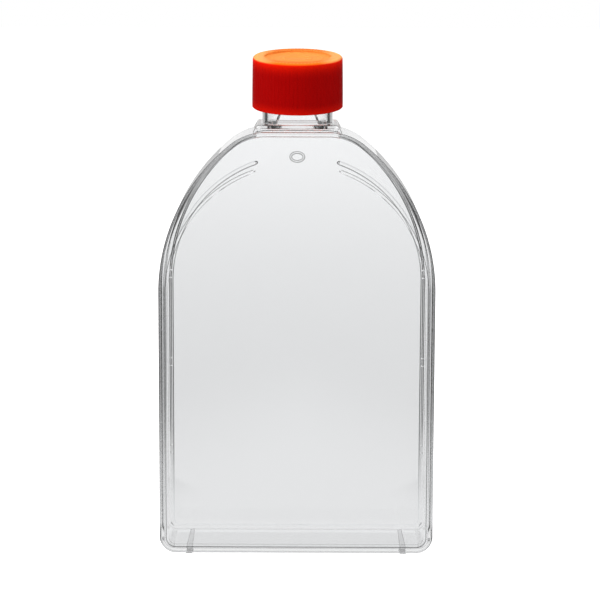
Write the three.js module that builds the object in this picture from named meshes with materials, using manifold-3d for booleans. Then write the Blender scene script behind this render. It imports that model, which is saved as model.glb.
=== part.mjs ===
// Cell culture flask with an arched shoulder, an angled neck and a screw cap.
// It stands on its end wall. Millimetres, +Z up, +X across the flask, +Y towards the growth side.
// The origin is the centre of the end wall's outer face; two short feet reach a little below it.

import * as THREE from 'three';
import * as BufferGeometryUtils from 'three/addons/utils/BufferGeometryUtils.js';
import Module from 'manifold-3d';

const wasm = await Module();
wasm.setup();

// ---------------------------------------------------------------- driving dimensions

// body, seen from the front: straight sides, then a pointed arch that rounds over to a flat under the neck
const HALF_WIDTH = 58.5;
const DEPTH = 38.8;
const ARCH_START_Z = 112.4;
const ARCH_RADIUS = 80.5;
const SHOULDER_Z = 180.6;
const SHOULDER_ROUND = 24;
const OUTER_CORNER_RADIUS = 7;

// walls
const SIDE_WALL = 1.5;
const END_WALL = 1.5;
const TOP_PANEL = 1.7;
const CAVITY_CORNER_RADIUS = 4.3;
const FRONT_EDGE_ROUND = 1.1;
const BACK_EDGE_ROUND = 0.7;

// growth plate, welded to the open back of the moulding
const PLATE_THICKNESS = 2.2;
const PLATE_RECESS = 0.5;
const JOIN_GAP = 0.3;
const RIM_WIDTH = 2.6;
const RIM_END_WIDTH = 2.1;
const RIDGE_INSET = 0.2;
const LOCATING_RIDGE_WIDTH = 0.8;
const LOCATING_RIDGE_HEIGHT = 1;
const RIDGE_BREAK_LENGTH = 3.4;
const RIDGE_SLIT = 0.6;
const RIDGE_BREAK_PITCH = 39;
const RIDGE_BREAKS = 3;
const POUR_WAY_WIDTH = 52.4;
const POUR_WAY_HEIGHT = 34;
const POUR_WAY_X = -2.6;

// stacking beads, a U on each broad face that closes in a half circle on the shoulder
const BEAD_RADIUS = 55;
const BEAD_WIDTH = 1.0;
const BEAD_BOTTOM_Z = 3.4;
const BACK_BEAD_BOTTOM_Z = 2.35;
const BEAD_CORNER_RADIUS = 3.4;
const BEAD_END_ANGLE = THREE.MathUtils.degToRad(71);
const FRONT_BEAD_HEIGHT = 0.4;
const BACK_BEAD_HEIGHT = 0.4;
const BEAD_END_PAD_RADIUS = 0.85;

// moulding mark on the front panel
const MARK_Z = 170.4;
const MARK_HALF_WIDTH = 3.0;
const MARK_HALF_HEIGHT = 2.1;
const MARK_LINE = 0.5;
const MARK_HEIGHT = 0.3;

// feet on the end wall: shallow ribs from front to back that taper
const FOOT_X = 45.9;
const FOOT_FRONT_WIDTH = 2.7;
const FOOT_BACK_WIDTH = 1.8;
const FOOT_HEIGHT = 0.4;
const FOOT_FRONT_INSET = 0.9;
const FOOT_BACK_INSET = 0.3;

// neck, leaning towards the front
const NECK_TILT = THREE.MathUtils.degToRad(7.5);
const NECK_RADIUS = 14.9;
const BORE_RADIUS = 12.9;
const NECK_LENGTH = 27.4;
const NECK_LIP_CHAMFER = 0.5;
const LAND_HALF_WIDTH = 18.6;
const LAND_HALF_DEPTH = 17;
const LAND_FLAT = 13;
const LAND_HEIGHT = 2.8;
const LAND_SLANT = 1.2;
const LAND_ROUND = 0.9;
const LAND_END_ROUND = 0.4;
const LAND_WALL = 1.6;
const RAMP_HALF_WIDTH = 10.6;
const RAMP_BEND = 0.8;
const RAMP_TOP = 9;
const RAMP_TAPER = 0.42;
const RAMP_FRONT_Y = 2;
const RAMP_BACK_Y = 14.8;
const RAMP_SLOPE = 0.3;
const RAMP_DRAFT = 1.1;
const RAMP_WALL = 1.8;
const RAMP_ROOF = 1.2;

// thread, right-handed, one start
const THREAD_PITCH = 4;
const THREAD_TURNS = 1.5;
const NECK_THREAD_CREST = 16.2;
const NECK_THREAD_START = 14;
const CAP_THREAD_CREST = 15.3;
const THREAD_ROOT_WIDTH = 2.1;
const THREAD_CREST_WIDTH = 0.85;

// cap, measured up the neck's axis from the shoulder
const CAP_BOTTOM = 9.6;
const CAP_HEIGHT = 21.7;
const CAP_BOTTOM_RADIUS = 19.3;
const CAP_TOP_RADIUS = 19.05;
const CAP_INNER_RADIUS = 16.7;
const CAP_EDGE_ROUND = 1.3;
const CAP_SKIRT_CHAMFER = 0.5;
const CAP_RECESS_RADIUS = 14;
const CAP_RECESS_DEPTH = 1;
const CAP_CEILING = 19;
const CAP_RIBS = 72;
const CAP_RIB_DEPTH = 0.12;

// liner, a sealing disc between the neck's lip and the cap's ceiling
const LINER_RADIUS = 16;
const LINER_THICKNESS = 0.6;

// fineness of round shapes
const ARCH_STEPS = 14;
const SHOULDER_STEPS = 5;
const CORNER_STEPS = 5;
const EDGE_STEPS = 3;
const PAD_SIDES = 8;
const OVAL_SIDES = 24;
const ROUND_SIDES = 48;
const THREAD_STEPS_PER_TURN = 32;

// ---------------------------------------------------------------- helpers

const FRONT_Y = -DEPTH / 2;
const BACK_Y = DEPTH / 2;
const WELD_Y = BACK_Y - PLATE_THICKNESS;
const FAR = 400;
const PAST = 10;
const EMBED = 0.2;

// A closed body from a geometry, for cutting and joining.
function solid(geometry) {
  const bare = geometry.clone();
  bare.deleteAttribute('normal');
  bare.deleteAttribute('uv');
  const merged = BufferGeometryUtils.mergeVertices(bare, 1e-4);
  const vertProperties = new Float32Array(merged.attributes.position.array);
  const triVerts = new Uint32Array(merged.index.array);
  return new wasm.Manifold(new wasm.Mesh({ numProp: 3, vertProperties, triVerts }));
}

function geometryOf(manifold) {
  const mesh = manifold.getMesh();
  const geometry = new THREE.BufferGeometry();
  geometry.setAttribute('position', new THREE.BufferAttribute(new Float32Array(mesh.vertProperties), 3));
  geometry.setIndex(new THREE.BufferAttribute(new Uint32Array(mesh.triVerts), 1));
  geometry.computeVertexNormals();
  return geometry;
}

// Points on an arc in the front view (x, z), both ends included.
function arc(x, z, radius, from, to, steps) {
  const points = [];
  for (let i = 0; i <= steps; i += 1) {
    const angle = from + (to - from) * i / steps;
    points.push(new THREE.Vector2(x + radius * Math.cos(angle), z + radius * Math.sin(angle)));
  }
  return points;
}

// Points all round a circle in the front view.
function ring(x, z, radius, sides) {
  return arc(x, z, radius, 0, 2 * Math.PI * (sides - 1) / sides, sides - 1);
}

// The half outline of the body, from the bottom corner up to the shoulder, moved inwards by the insets.
function bodySide(sideInset, endInset) {
  const insideRadius = CAVITY_CORNER_RADIUS + SIDE_WALL - sideInset;
  const cornerRadius = sideInset > 0 ? insideRadius : OUTER_CORNER_RADIUS;
  const halfWidth = HALF_WIDTH - sideInset;
  const archRadius = ARCH_RADIUS - sideInset;
  const archX = HALF_WIDTH - ARCH_RADIUS;
  const round = SHOULDER_ROUND - sideInset;
  const roundZ = SHOULDER_Z - endInset - round;
  const roundX = archX + Math.sqrt((archRadius - round) ** 2 - (roundZ - ARCH_START_Z) ** 2);
  const archEnd = Math.atan2(roundZ - ARCH_START_Z, roundX - archX);
  return [
    ...arc(halfWidth - cornerRadius, endInset + cornerRadius, cornerRadius, -Math.PI / 2, 0, CORNER_STEPS),
    ...arc(archX, ARCH_START_Z, archRadius, 0, archEnd, ARCH_STEPS),
    ...arc(roundX, roundZ, round, archEnd, Math.PI / 2, SHOULDER_STEPS).slice(1),
  ];
}

// A whole outline from its right half, bottom to top.
function mirrored(half) {
  const left = half.map((p) => new THREE.Vector2(-p.x, p.y)).reverse();
  return [...half, ...left];
}

// Extrudes an outline of the front view along Y, with rounded edges if wanted.
function alongY(outline, yFrom, yTo, round = 0) {
  const geometry = new THREE.ExtrudeGeometry(new THREE.Shape(outline), {
    depth: yTo - yFrom - 2 * round,
    bevelEnabled: round > 0,
    bevelThickness: round,
    bevelSize: round,
    bevelOffset: -round,
    bevelSegments: EDGE_STEPS,
    steps: 1,
  });
  geometry.rotateX(Math.PI / 2);
  geometry.translate(0, yTo - round, 0);
  return solid(geometry);
}

// Everything between two Y planes.
function slab(yFrom, yTo) {
  const box = new THREE.BoxGeometry(FAR, yTo - yFrom, 2 * FAR);
  box.translate(0, (yFrom + yTo) / 2, 0);
  return solid(box);
}

// A body turned about the Z axis from (radius, height) points that start and end on the axis.
function turned(profile, sides = ROUND_SIDES) {
  const geometry = new THREE.LatheGeometry(profile.map(([r, h]) => new THREE.Vector2(r, h)), sides);
  geometry.rotateX(Math.PI / 2);
  return solid(geometry);
}

function cylinder(radius, from, to, sides = ROUND_SIDES) {
  return turned([[0, from], [radius, from], [radius, to], [0, to]], sides);
}

// Moves a body from the neck's own frame (axis +Z, 0 at the shoulder) to its place on the flask.
function onNeck(manifold) {
  return manifold.rotate([THREE.MathUtils.radToDeg(NECK_TILT), 0, 0]).translate([0, 0, SHOULDER_Z]);
}

// A strip of constant width along the U of the stacking bead.
function beadStrip(width, bottomZ) {
  const side = (offset) => {
    const corner = BEAD_CORNER_RADIUS + offset;
    const cornerX = BEAD_RADIUS - BEAD_CORNER_RADIUS;
    const cornerZ = bottomZ + BEAD_CORNER_RADIUS;
    return [
      ...arc(cornerX, cornerZ, corner, -Math.PI / 2, 0, CORNER_STEPS),
      ...arc(0, ARCH_START_Z, BEAD_RADIUS + offset, 0, BEAD_END_ANGLE, ARCH_STEPS),
    ];
  };
  const whole = (offset) => {
    const half = side(offset);
    return [...half.map((p) => new THREE.Vector2(-p.x, p.y)).reverse(), ...half];
  };
  return [...whole(width / 2), ...whole(-width / 2).reverse()];
}

// The two round pads at the ends of a bead.
function beadEndPads(yFrom, yTo) {
  const pads = [1, -1].map((side) => {
    const x = side * BEAD_RADIUS * Math.cos(BEAD_END_ANGLE);
    const z = ARCH_START_Z + BEAD_RADIUS * Math.sin(BEAD_END_ANGLE);
    return alongY(ring(x, z, BEAD_END_PAD_RADIUS, PAD_SIDES), yFrom, yTo);
  });
  return pads[0].add(pads[1]);
}

// An oval ring in the front view.
function ovalRing(halfWidth, halfHeight, z, line, yFrom, yTo) {
  const oval = (inset) => ring(0, 0, 1, OVAL_SIDES).map(
    (p) => new THREE.Vector2(p.x * (halfWidth - inset), z + p.y * (halfHeight - inset)),
  );
  return alongY(oval(0), yFrom, yTo).subtract(alongY(oval(line), yFrom - 1, yTo + 1));
}

// A helical rib of trapezoid section; its crest rises and fades over the first and last quarter turn.
function helicalRib(rootRadius, crestRadius, start) {
  const steps = Math.round(THREAD_TURNS * THREAD_STEPS_PER_TURN);
  const outward = Math.sign(crestRadius - rootRadius);
  const lowest = 0.05;
  const positions = [];
  const indices = [];
  for (let i = 0; i <= steps; i += 1) {
    const turn = THREAD_TURNS * i / steps;
    const angle = 2 * Math.PI * turn;
    const rise = Math.min(1, lowest + 4 * turn, lowest + 4 * (THREAD_TURNS - turn));
    const crest = rootRadius + (crestRadius - rootRadius) * rise;
    const middle = start + THREAD_PITCH * turn;
    const section = [
      [rootRadius, middle - outward * THREAD_ROOT_WIDTH / 2],
      [crest, middle - outward * THREAD_CREST_WIDTH / 2],
      [crest, middle + outward * THREAD_CREST_WIDTH / 2],
      [rootRadius, middle + outward * THREAD_ROOT_WIDTH / 2],
    ];
    section.forEach(([r, h]) => positions.push(r * Math.cos(angle), r * Math.sin(angle), h));
  }
  for (let i = 0; i < steps; i += 1) {
    for (let k = 0; k < 4; k += 1) {
      const a = 4 * i + k;
      const b = 4 * i + (k + 1) % 4;
      indices.push(a, a + 4, b, b, a + 4, b + 4);
    }
  }
  const last = 4 * steps;
  indices.push(0, 1, 2, 0, 2, 3, last, last + 2, last + 1, last, last + 3, last + 2);
  const geometry = new THREE.BufferGeometry();
  geometry.setAttribute('position', new THREE.BufferAttribute(new Float32Array(positions), 3));
  geometry.setIndex(indices);
  return solid(geometry);
}

// ---------------------------------------------------------------- flask body

const outerOutline = mirrored(bodySide(0, 0));
const cavityOutline = mirrored(bodySide(SIDE_WALL, END_WALL));

// The closed outside of the body, front and back edges rounded.
function bodyOutside() {
  const frontRounded = alongY(outerOutline, FRONT_Y, BACK_Y + PAST, FRONT_EDGE_ROUND);
  const backRounded = alongY(outerOutline, FRONT_Y - PAST, BACK_Y, BACK_EDGE_ROUND);
  return frontRounded.intersect(backRounded);
}

// A shallow rib across the end wall, wider at the front.
function foot(side) {
  const frontY = FRONT_Y + FOOT_FRONT_INSET;
  const backY = WELD_Y - JOIN_GAP - FOOT_BACK_INSET;
  const outline = new THREE.Shape([
    new THREE.Vector2(side * FOOT_X - FOOT_FRONT_WIDTH / 2, frontY),
    new THREE.Vector2(side * FOOT_X + FOOT_FRONT_WIDTH / 2, frontY),
    new THREE.Vector2(side * FOOT_X + FOOT_BACK_WIDTH / 2, backY),
    new THREE.Vector2(side * FOOT_X - FOOT_BACK_WIDTH / 2, backY),
  ]);
  const geometry = new THREE.ExtrudeGeometry(outline, { depth: 2 * FOOT_HEIGHT, bevelEnabled: false });
  geometry.translate(0, 0, -FOOT_HEIGHT);
  return solid(geometry);
}

// The front view of the land under the neck, its sides leaning in to rounded edges, moved inwards by a wall.
function landOutline(wall) {
  const wide = LAND_HALF_WIDTH - wall;
  const round = LAND_ROUND - 0.3 * wall;
  const top = SHOULDER_Z + LAND_HEIGHT - wall;
  const bottom = SHOULDER_Z - (wall > 0 ? 3 : 0.6) * END_WALL;
  const right = [
    new THREE.Vector2(LAND_FLAT, bottom),
    new THREE.Vector2(wide, bottom - 0.35 * END_WALL),
    new THREE.Vector2(wide, SHOULDER_Z),
    ...arc(wide - LAND_SLANT - round, top - round, round, 0.4, Math.PI / 2, EDGE_STEPS),
  ];
  return mirrored(right);
}

// The ramp that runs from the growth plate up into the neck: its outside, or with no wall the way over it.
function ramp(wall) {
  const level = RAMP_HALF_WIDTH + 0.8 * wall;
  const half = (height) => level + Math.min(RAMP_BEND - height, 0) * RAMP_TAPER;
  const bottom = -(wall > 0 ? 0.5 : 3) * END_WALL;
  const top = RAMP_TOP - (wall > 0 ? 0 : RAMP_ROOF);
  const heights = [bottom, RAMP_BEND, top];
  const right = heights.map((height) => new THREE.Vector2(half(height), SHOULDER_Z + height));
  const size = Math.hypot(1, RAMP_SLOPE);
  const back = RAMP_BACK_Y + wall + RAMP_SLOPE * SHOULDER_Z;
  const narrowing = RAMP_DRAFT / RAMP_HALF_WIDTH / (RAMP_BACK_Y - RAMP_FRONT_Y);
  return alongY(mirrored(right), RAMP_FRONT_Y, DEPTH)
    .warp((point) => {
      point[0] *= 1 - narrowing * (point[1] - RAMP_FRONT_Y);
    })
    .trimByPlane([0, -1 / size, -RAMP_SLOPE / size], -back / size);
}

// The neck as a solid rod with its thread; the bore is cut later, through the shoulder too.
function neckRod() {
  const foot = LAND_HEIGHT / 2;
  const rod = turned([
    [0, foot],
    [NECK_RADIUS, foot],
    [NECK_RADIUS, NECK_LENGTH - NECK_LIP_CHAMFER],
    [NECK_RADIUS - NECK_LIP_CHAMFER, NECK_LENGTH],
    [0, NECK_LENGTH],
  ]);
  return onNeck(rod.add(helicalRib(NECK_RADIUS - 2 * EMBED, NECK_THREAD_CREST, NECK_THREAD_START)));
}

function upperBody() {
  const shell = bodyOutside().intersect(slab(-FAR, WELD_Y - JOIN_GAP));
  const cavity = alongY(cavityOutline, FRONT_Y + TOP_PANEL, BACK_Y + PAST);
  const bore = onNeck(cylinder(BORE_RADIUS, -2 * END_WALL, NECK_LENGTH + PAST));
  const land = alongY(landOutline(0), -LAND_HALF_DEPTH, LAND_HALF_DEPTH, LAND_END_ROUND);
  const hollowDepth = LAND_HALF_DEPTH - LAND_WALL;
  const hollow = alongY(landOutline(LAND_WALL), -hollowDepth, hollowDepth);
  const bead = alongY(beadStrip(BEAD_WIDTH, BEAD_BOTTOM_Z), FRONT_Y - FRONT_BEAD_HEIGHT, FRONT_Y + EMBED);
  const mark = ovalRing(
    MARK_HALF_WIDTH, MARK_HALF_HEIGHT, MARK_Z, MARK_LINE, FRONT_Y - MARK_HEIGHT, FRONT_Y + EMBED,
  );
  return shell
    .add(land)
    .add(neckRod())
    .add(ramp(RAMP_WALL))
    .subtract(cavity)
    .subtract(hollow)
    .subtract(bore)
    .subtract(ramp(0))
    .add(bead)
    .add(mark)
    .add(foot(1))
    .add(foot(-1));
}

// The flat plate that cells grow on: a rim flush with the body and a ridge that locates it in the cavity.
function growthPlate() {
  const plate = bodyOutside().intersect(slab(WELD_Y, FAR));
  const rimOutline = mirrored(bodySide(RIM_WIDTH, RIM_END_WIDTH));
  const recess = alongY(rimOutline, BACK_Y - PLATE_RECESS, BACK_Y + PAST);
  const inner = RIDGE_INSET + LOCATING_RIDGE_WIDTH;
  const ridgeOuter = mirrored(bodySide(RIM_WIDTH + RIDGE_INSET, RIM_END_WIDTH + RIDGE_INSET));
  const ridgeInner = mirrored(bodySide(RIM_WIDTH + inner, RIM_END_WIDTH + inner));
  const ridgeFrom = WELD_Y - LOCATING_RIDGE_HEIGHT;
  const ridgeRoom = alongY(ridgeInner, ridgeFrom - PAST, WELD_Y + PAST);
  let ridge = alongY(ridgeOuter, ridgeFrom, WELD_Y + EMBED).subtract(ridgeRoom);
  for (let i = 0; i < RIDGE_BREAKS; i += 1) {
    for (const end of [-1, 1]) {
      const slit = new THREE.BoxGeometry(FAR, DEPTH, RIDGE_SLIT);
      const middle = ARCH_START_Z + RIDGE_BREAK_LENGTH - RIDGE_BREAK_PITCH * i;
      slit.translate(0, WELD_Y - DEPTH / 2, middle + end * RIDGE_BREAK_LENGTH / 2);
      ridge = ridge.subtract(solid(slit));
    }
  }
  const pourWay = new THREE.BoxGeometry(POUR_WAY_WIDTH, DEPTH, POUR_WAY_HEIGHT);
  pourWay.translate(POUR_WAY_X, WELD_Y - DEPTH / 2, SHOULDER_Z);
  ridge = ridge.subtract(solid(pourWay));
  const beadFoot = BACK_Y - PLATE_RECESS;
  const strip = beadStrip(BEAD_WIDTH, BACK_BEAD_BOTTOM_Z);
  const bead = alongY(strip, beadFoot - EMBED, beadFoot + BACK_BEAD_HEIGHT);
  return plate
    .subtract(recess)
    .add(ridge)
    .add(bead)
    .add(beadEndPads(beadFoot - EMBED, beadFoot + BACK_BEAD_HEIGHT));
}

// ---------------------------------------------------------------- cap and liner

// An upright prism whose sides are fine upright ribs.
function ribbedPrism(radius, height) {
  const outline = [];
  for (let i = 0; i < 2 * CAP_RIBS; i += 1) {
    const angle = Math.PI * i / CAP_RIBS;
    const r = i % 2 === 0 ? radius : radius - CAP_RIB_DEPTH;
    outline.push(new THREE.Vector2(r * Math.cos(angle), r * Math.sin(angle)));
  }
  const shape = new THREE.Shape(outline);
  return solid(new THREE.ExtrudeGeometry(shape, { depth: height, bevelEnabled: false }));
}

function screwCap() {
  const roundR = CAP_TOP_RADIUS - CAP_EDGE_ROUND;
  const roundZ = CAP_HEIGHT - CAP_EDGE_ROUND;
  const rounding = arc(roundR, roundZ, CAP_EDGE_ROUND, 0, Math.PI / 2, EDGE_STEPS);
  const outside = turned([
    [0, 0],
    [CAP_BOTTOM_RADIUS - CAP_SKIRT_CHAMFER, 0],
    [CAP_BOTTOM_RADIUS, CAP_SKIRT_CHAMFER],
    ...rounding.map((p) => [p.x, p.y]),
    [CAP_RECESS_RADIUS, CAP_HEIGHT],
    [CAP_RECESS_RADIUS, CAP_HEIGHT - CAP_RECESS_DEPTH],
    [0, CAP_HEIGHT - CAP_RECESS_DEPTH],
  ], CAP_RIBS);
  const hollow = cylinder(CAP_INNER_RADIUS, -PAST, CAP_CEILING);
  const threadStart = NECK_THREAD_START - CAP_BOTTOM - THREAD_PITCH / 2;
  const thread = helicalRib(CAP_INNER_RADIUS + 2 * EMBED, CAP_THREAD_CREST, threadStart);
  const cap = outside.intersect(ribbedPrism(CAP_BOTTOM_RADIUS, CAP_HEIGHT)).subtract(hollow).add(thread);
  return onNeck(cap.translate([0, 0, CAP_BOTTOM]));
}

function capLiner() {
  const from = NECK_LENGTH + JOIN_GAP;
  return onNeck(cylinder(LINER_RADIUS, from, from + LINER_THICKNESS));
}

// ---------------------------------------------------------------- assembly

const clearPolystyrene = new THREE.MeshStandardMaterial({
  color: 0xeef0f2, roughness: 0.05, metalness: 0, transparent: true, opacity: 0.3,
});
const orangePolyethylene = new THREE.MeshStandardMaterial({ color: 0xd62a08, roughness: 0.45, metalness: 0 });
const whiteLiner = new THREE.MeshStandardMaterial({ color: 0xf2f0ea, roughness: 0.7, metalness: 0 });

function piece(name, manifold, material) {
  const mesh = new THREE.Mesh(geometryOf(manifold), material);
  mesh.name = name;
  return mesh;
}

const flask = new THREE.Group();
flask.add(piece('upper_body', upperBody(), clearPolystyrene));
flask.add(piece('growth_plate', growthPlate(), clearPolystyrene));
flask.add(piece('cap_liner', capLiner(), whiteLiner));
flask.add(piece('screw_cap', screwCap(), orangePolyethylene));

export default flask;
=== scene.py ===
"""A clear cell culture flask that stands on its end wall, with an orange screw cap."""

import math

import bmesh
import bpy
from mathutils import Matrix, Vector


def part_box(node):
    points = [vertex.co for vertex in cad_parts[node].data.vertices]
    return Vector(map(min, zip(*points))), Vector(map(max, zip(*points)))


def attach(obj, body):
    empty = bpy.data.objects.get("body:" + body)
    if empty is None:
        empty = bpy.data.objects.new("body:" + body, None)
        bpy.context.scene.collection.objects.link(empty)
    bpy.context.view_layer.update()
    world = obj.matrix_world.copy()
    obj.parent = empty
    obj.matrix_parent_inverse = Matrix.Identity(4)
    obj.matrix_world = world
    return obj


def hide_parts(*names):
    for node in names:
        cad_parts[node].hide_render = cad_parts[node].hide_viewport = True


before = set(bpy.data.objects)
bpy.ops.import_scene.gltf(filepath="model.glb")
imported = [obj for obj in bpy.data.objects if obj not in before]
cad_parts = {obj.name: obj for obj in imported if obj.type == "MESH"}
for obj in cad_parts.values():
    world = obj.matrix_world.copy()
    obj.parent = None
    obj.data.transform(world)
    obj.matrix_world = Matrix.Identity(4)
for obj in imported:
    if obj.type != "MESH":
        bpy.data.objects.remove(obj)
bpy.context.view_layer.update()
PLATE_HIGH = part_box("growth_plate")[1]

bl_info = {
    "name": "Cell culture flask",
    "version": (1, 0, 0),
    "blender": (4, 5, 0),
    "location": "3D View > Sidebar > Flask",
    "description": "Builds a clear culture flask with a screw cap and a studio round it",
    "category": "Add Mesh",
}

# How far a thread's root reaches into its wall, so that the two become one solid.
SUNK = 0.00005
# Edges sharper than this stay sharp when a piece is smoothed.
CREASE = math.radians(32)
# The room that the clear plastic shows: a white wall behind the flask, dark beyond it, and
# white again at the sides and overhead. Each pair is where a change starts and ends, as the
# sine of the angle from straight behind, or from level for the ceiling.
BACK_WALL = 0.42, 0.58
SIDE_WALL = 0.80, 0.90
CEILING = 0.35, 0.65


def length(name, description, default):
    return bpy.props.FloatProperty(
        name=name, description=description, default=default, unit="LENGTH", precision=5, min=0.0
    )


def angle(name, description, degrees):
    return bpy.props.FloatProperty(
        name=name, description=description, default=math.radians(degrees), unit="ROTATION"
    )


def count(name, description, default):
    return bpy.props.IntProperty(name=name, description=description, default=default, min=3)


def share(name, description, default):
    return bpy.props.FloatProperty(
        name=name, description=description, default=default, min=0.0, soft_max=1.0
    )


def colour(name, description, default):
    return bpy.props.FloatVectorProperty(
        name=name,
        description=description,
        default=default,
        subtype="COLOR",
        size=3,
        min=0.0,
        max=1.0,
    )


def watts(name, description, default):
    return bpy.props.FloatProperty(
        name=name, description=description, default=default, unit="POWER", min=0.0
    )


# ------------------------------------------------------------------ sizes


class FlaskBodySizes(bpy.types.PropertyGroup):
    """The two clear mouldings"""

    half_width: length("Half width", "From the middle to the outer side wall", PLATE_HIGH.x)
    front_y: length("Front", "Distance of the front panel from the middle", PLATE_HIGH.y)
    back_y: length("Back", "Distance of the rim of the growth plate from the middle", PLATE_HIGH.y)
    shoulder_z: length("Shoulder height", "Height of the flat under the neck", PLATE_HIGH.z)
    arch_start_z: length("Arch start", "Height where the straight sides turn into the arch", 0.1124)
    arch_radius: length("Arch radius", "Radius of each side of the pointed arch", 0.0805)
    shoulder_round: length("Shoulder round", "Radius between the arch and the flat", 0.024)
    outer_corner: length("Outer corner", "Radius of the bottom corners", 0.007)
    inner_corner: length("Inner corner", "Radius of the cavity's bottom corners", 0.0043)
    side_wall: length("Side wall", "Thickness of the side walls and the arch", 0.0015)
    draft: length("Wall draft", "Extra thickness of the walls at the front", 0.0004)
    end_wall: length("End wall", "Thickness of the end wall and the shoulder", 0.0015)
    panel: length("Front panel", "Thickness of the front panel", 0.0017)
    front_round: length("Front edge", "Radius of the front outer edge", 0.0011)
    back_round: length("Back edge", "Radius of the back outer edge", 0.0007)
    cavity_round: length("Cavity edge", "Radius between the front panel and the walls", 0.0003)
    plate: length("Growth plate", "Thickness of the rim of the growth plate", 0.0022)
    plate_recess: length("Plate recess", "Depth of the growth plate's panel below its rim", 0.0005)
    rim_width: length("Rim width", "Width of the growth plate's rim at the sides", 0.0026)
    rim_slope: length("Rim slope", "Width of the slope from the rim to the panel", 0.0003)
    rim_end: length("Rim width at the ends", "Width of the growth plate's rim at the ends", 0.0021)
    rim_corner: length("Rim corner", "Radius of the recess at the bottom corners", 0.0032)
    weld_chamfer: length("Weld chamfer", "Slope on the wall's inner edge at the weld", 0.0004)
    weld_gap: length("Weld line", "Gap left at the weld between the two mouldings", 0.00006)
    ridge_gap: length("Ridge gap", "From the edge of the rim to the locating ridge", 0.0)
    ridge_width: length("Ridge width", "Width of the locating ridge at its foot", 0.0012)
    ridge_crest: length("Ridge crest", "Width of the locating ridge at its top", 0.00015)
    ridge_height: length("Ridge height", "Height of the locating ridge", 0.0010)
    ridge_break: length("Ridge block", "Length of each short block in the locating ridge", 0.0034)
    ridge_slit: length("Ridge slit", "Width of the slits at a block's ends", 0.0006)
    ridge_pitch: length("Break pitch", "Distance between the breaks", 0.039)
    ridge_breaks: count("Breaks", "Number of breaks in each side of the ridge", 3)
    pour_left: length("Pour way, left", "From the middle to the ridge's left end", 0.0288)
    pour_right: length("Pour way, right", "From the middle to the ridge's right end", 0.0236)
    pour_drop: length("Pour way drop", "From the shoulder down to the ridge's ends", 0.017)
    foot_x: length("Foot place", "Distance of each foot from the middle", 0.0459)
    foot_front: length("Foot width, front", "Width of a foot at its front end", 0.0027)
    foot_back: length("Foot width, back", "Width of a foot at its back end", 0.0018)
    foot_height: length("Foot height", "How far the feet stand below the end wall", 0.0004)
    foot_slope: length("Foot slope", "Slope of the foot's edges", 0.0002)
    foot_inset: length("Foot inset", "From the front panel to the foot's front end", 0.0009)
    foot_end: length("Foot end", "From the weld to the foot's back end", 0.0003)


class FlaskBeadSizes(bpy.types.PropertyGroup):
    """The raised beads and the moulding mark"""

    radius: length("Bead radius", "Radius of the half circle of the stacking bead", 0.055)
    width: length("Bead width", "Width of the stacking bead", 0.001)
    height: length("Bead height", "Height of the stacking bead", 0.0004)
    bottom_z: length("Bead bottom", "Height of the bead's lower run", 0.0034)
    slope: share("Bead slope", "Run of the front bead's sides over their height", 0.5)
    back_bottom_z: length("Back bead bottom", "Height of the back bead's lower run", 0.00235)
    back_slope: share("Back bead slope", "Run of the back bead's sides over their height", 1.1)
    corner: length("Bead corner", "Radius of the bead's lower corners", 0.0034)
    end: angle("Bead end", "Where the half circle stops, from the horizontal", 71)
    back_dot: length("Back end dots", "Radius of the dots at the back bead's ends", 0.00078)
    front_dot: length("Front end dots", "Radius of the dots at the front bead's ends", 0.00042)
    short: length("Bead stop", "How far the bead stops before its dots' middles", 0.000352)
    mark_z: length("Mark height", "Height of the oval moulding mark", 0.1704)
    mark_width: length("Mark half width", "Half width of the oval mark", 0.003)
    mark_height: length("Mark half height", "Half height of the oval mark", 0.0021)
    mark_line: length("Mark line", "Width of the oval mark's line", 0.0005)
    mark_relief: length("Mark relief", "Height of the oval mark's line", 0.00025)


class FlaskNeckSizes(bpy.types.PropertyGroup):
    """The land, the leaning neck and its thread"""

    lean: angle("Lean", "How far the neck leans to the front", 7.5)
    radius: length("Neck radius", "Outer radius of the neck", 0.0149)
    bore: length("Bore radius", "Inner radius of the neck", 0.0129)
    height: length("Neck length", "From the shoulder to the lip", 0.0274)
    lip_round: length("Lip round", "Radius of the lip's edges", 0.0005)
    land_width: length("Land half width", "Half width of the raised land under the neck", 0.0186)
    land_flat: length("Land flat", "Half width of the land's level underside", 0.013)
    land_slant: length("Land slant", "How far the land's sides run in", 0.0012)
    land_depth: length("Land half depth", "Half depth of the land, front to back", 0.0170)
    land_height: length("Land height", "Height of the land above the shoulder", 0.0028)
    land_edge: length("Land edge", "Radius of the land's long edges", 0.0009)
    land_end: length("Land end", "Radius of the land's edges at its front and back", 0.0004)
    land_wall: length("Land wall", "Thickness of the land's walls", 0.0016)
    ramp_wide: length("Ramp half width", "Half width of the ramp's lower end", 0.0106)
    ramp_bend: length("Ramp bend", "Height where the ramp starts to narrow", 0.0008)
    ramp_top: length("Ramp top", "Height of the ramp's upper end above the shoulder", 0.0090)
    ramp_taper: share("Ramp taper", "How fast each side of the ramp runs in", 0.42)
    ramp_front: length("Ramp front", "From the middle to the ramp's front end", 0.002)
    ramp_back: length("Ramp back", "From the middle to the ramp at the shoulder", 0.0148)
    ramp_slope: share("Ramp slope", "How fast the ramp runs forward", 0.30)
    ramp_wall: length("Ramp wall", "Thickness of the wall behind the ramp", 0.0018)
    ramp_roof: length("Ramp roof", "Thickness of the wall over the ramp", 0.0012)
    ramp_draft: length("Ramp draft", "How much narrower each side is at the back", 0.0011)
    pitch: length("Thread pitch", "Rise of the thread in one turn", 0.004)
    turns: bpy.props.FloatProperty(
        name="Turns", description="Turns of thread", default=1.5, min=0.5
    )
    thread_crest: length("Thread crest", "Radius of the neck thread's crest", 0.0162)
    thread_start: length("Thread start", "Height where the neck thread starts", 0.014)


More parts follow.
